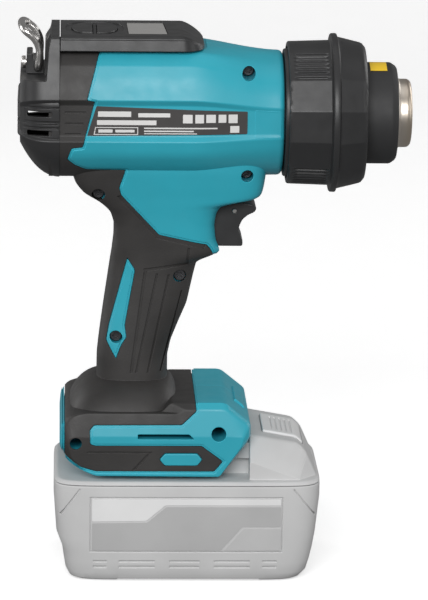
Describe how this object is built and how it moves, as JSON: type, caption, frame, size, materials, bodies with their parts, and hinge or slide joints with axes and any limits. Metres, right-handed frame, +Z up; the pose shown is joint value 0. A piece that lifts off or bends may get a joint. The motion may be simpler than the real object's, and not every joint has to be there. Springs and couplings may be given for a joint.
{
  "type": "cordless heat gun",
  "caption": "Cordless pistol-grip heat gun: motor and heater barrel, removable heat shield, hinged trigger, top control panel, hanging hook and slide-on battery.",
  "frame": {"origin": "bottom centre of the bounding box: the plane that the battery stands on, mid-length and mid-width", "axes": "+X out of the nozzle, +Y to the tool's left, +Z up"},
  "size_m": [0.1747, 0.077, 0.2482],
  "materials": {
    "teal_plastic": "fine moulded satin plastic",
    "black_overmould": "soft matte elastomer, finely textured",
    "black_plastic": "moulded satin black plastic",
    "nozzle_steel": "warm-toned turned steel",
    "polished_steel": "polished plated wire",
    "screw_steel": "blackened steel",
    "display_lens": "clear lens over a pale unlit display",
    "nameplate_film": "dark printed film",
    "yellow_label": "plain yellow film",
    "grey_plastic": "pale grey moulded plastic",
    "light_grey_plastic": "light grey moulded plastic",
    "circuit_board": "solder-masked board",
    "copper_contact": "plated copper",
    "red_plastic": "red moulded plastic",
    "mica_board": "pressed mica",
    "heater_ceramic": "unglazed ceramic",
    "cell_sleeve": "sleeved cells in a holder",
    "fan_plastic": "glass-filled moulded plastic"
  },
  "bodies": {
    "housing": {"housing_right": "teal_plastic", "housing_left": "teal_plastic", "foot_badge": "teal_plastic", "overmould_right": "black_overmould", "overmould_left": "black_overmould", "rear_cover": "black_plastic", "control_panel": "black_plastic", "display_module": "black_plastic", "hook_bracket": "black_plastic", "barrel_sleeve": "black_plastic", "switch_body": "black_plastic", "motor_mount": "black_plastic", "terminal_block": "black_plastic", "lead_negative": "black_plastic", "nozzle": "nozzle_steel", "heater_coil": "nozzle_steel", "temperature_probe": "nozzle_steel", "motor_can": "nozzle_steel", "front_bearing": "nozzle_steel", "rear_bearing": "nozzle_steel", "hook_screw": "polished_steel", "trigger_pin": "polished_steel", "screw_barrel_upper": "screw_steel", "screw_barrel_lower": "screw_steel", "screw_neck": "screw_steel", "screw_grip_upper": "screw_steel", "screw_grip_lower": "screw_steel", "screw_foot_front": "screw_steel", "screw_foot_rear": "screw_steel", "display_window": "display_lens", "nameplate": "nameplate_film", "barrel_label": "yellow_label", "control_board": "circuit_board", "controller_board": "circuit_board", "contact_positive": "copper_contact", "contact_negative": "copper_contact", "lead_positive": "red_plastic", "heater_tube": "mica_board", "nozzle_spacer": "mica_board", "air_guide": "mica_board", "heater_former": "heater_ceramic"},
    "lock_ring": {"shield_lock_ring": "black_plastic"},
    "shield": {"heat_shield": "black_plastic"},
    "hook": {"hook": "polished_steel"},
    "trigger": {"trigger": "black_plastic"},
    "plunger": {"switch_plunger": "red_plastic"},
    "fan": {"motor_shaft": "nozzle_steel", "motor_rotor": "copper_contact", "fan_impeller": "fan_plastic"},
    "up_button": {"temperature_up_button": "black_plastic"},
    "down_button": {"temperature_down_button": "black_plastic"},
    "battery": {"battery_case_lower": "grey_plastic", "battery_case_upper": "grey_plastic", "battery_cells": "cell_sleeve", "battery_board": "circuit_board", "battery_socket_positive": "copper_contact", "battery_socket_negative": "copper_contact"},
    "release_button": {"battery_release_button": "light_grey_plastic"}
  },
  "joints": [
    {"name": "shield_turn", "type": "hinge", "parent": "housing", "child": "lock_ring", "pos_m": [0.033, 0, 0.207], "axis": [1, 0, 0], "range_deg": [0, 30]},
    {"name": "shield_pull", "type": "slide", "parent": "lock_ring", "child": "shield", "axis": [1, 0, 0], "range_m": [0, 0.058]},
    {"name": "hook_fold", "type": "hinge", "parent": "housing", "child": "hook", "pos_m": [-0.0783, 0, 0.2284], "axis": [0, -1, 0], "range_deg": [0, 85]},
    {"name": "trigger_pull", "type": "hinge", "parent": "housing", "child": "trigger", "pos_m": [0.0092, 0, 0.1638], "axis": [0, 1, 0], "range_deg": [0, 12], "stiffness_Nm_per_rad": 0.35, "springref_deg": -8.59},
    {"name": "switch_press", "type": "slide", "parent": "housing", "child": "plunger", "axis": [-1, 0, 0], "range_m": [0, 0.0019]},
    {"name": "fan_spin", "type": "hinge", "parent": "housing", "child": "fan", "pos_m": [-0.04, 0, 0.207], "axis": [1, 0, 0], "continuous": true},
    {"name": "temperature_up_press", "type": "slide", "parent": "housing", "child": "up_button", "axis": [0, 0, -1], "range_m": [0, 0.0008], "stiffness_N_per_m": 1500, "springref_m": -0.0003},
    {"name": "temperature_down_press", "type": "slide", "parent": "housing", "child": "down_button", "axis": [0, 0, -1], "range_m": [0, 0.0008], "stiffness_N_per_m": 1500, "springref_m": -0.0003},
    {"name": "battery_slide", "type": "slide", "parent": "housing", "child": "battery", "axis": [1, 0, 0], "range_m": [0, 0.1]},
    {"name": "release_press", "type": "slide", "parent": "battery", "child": "release_button", "axis": [0, 0, -1], "range_m": [0, 0.004], "stiffness_N_per_m": 1200, "springref_m": -0.002}
  ],
  "couplings": [
    {"joint": "switch_press", "follows": "trigger_pull", "m_per_rad": 0.0088}
  ]
}
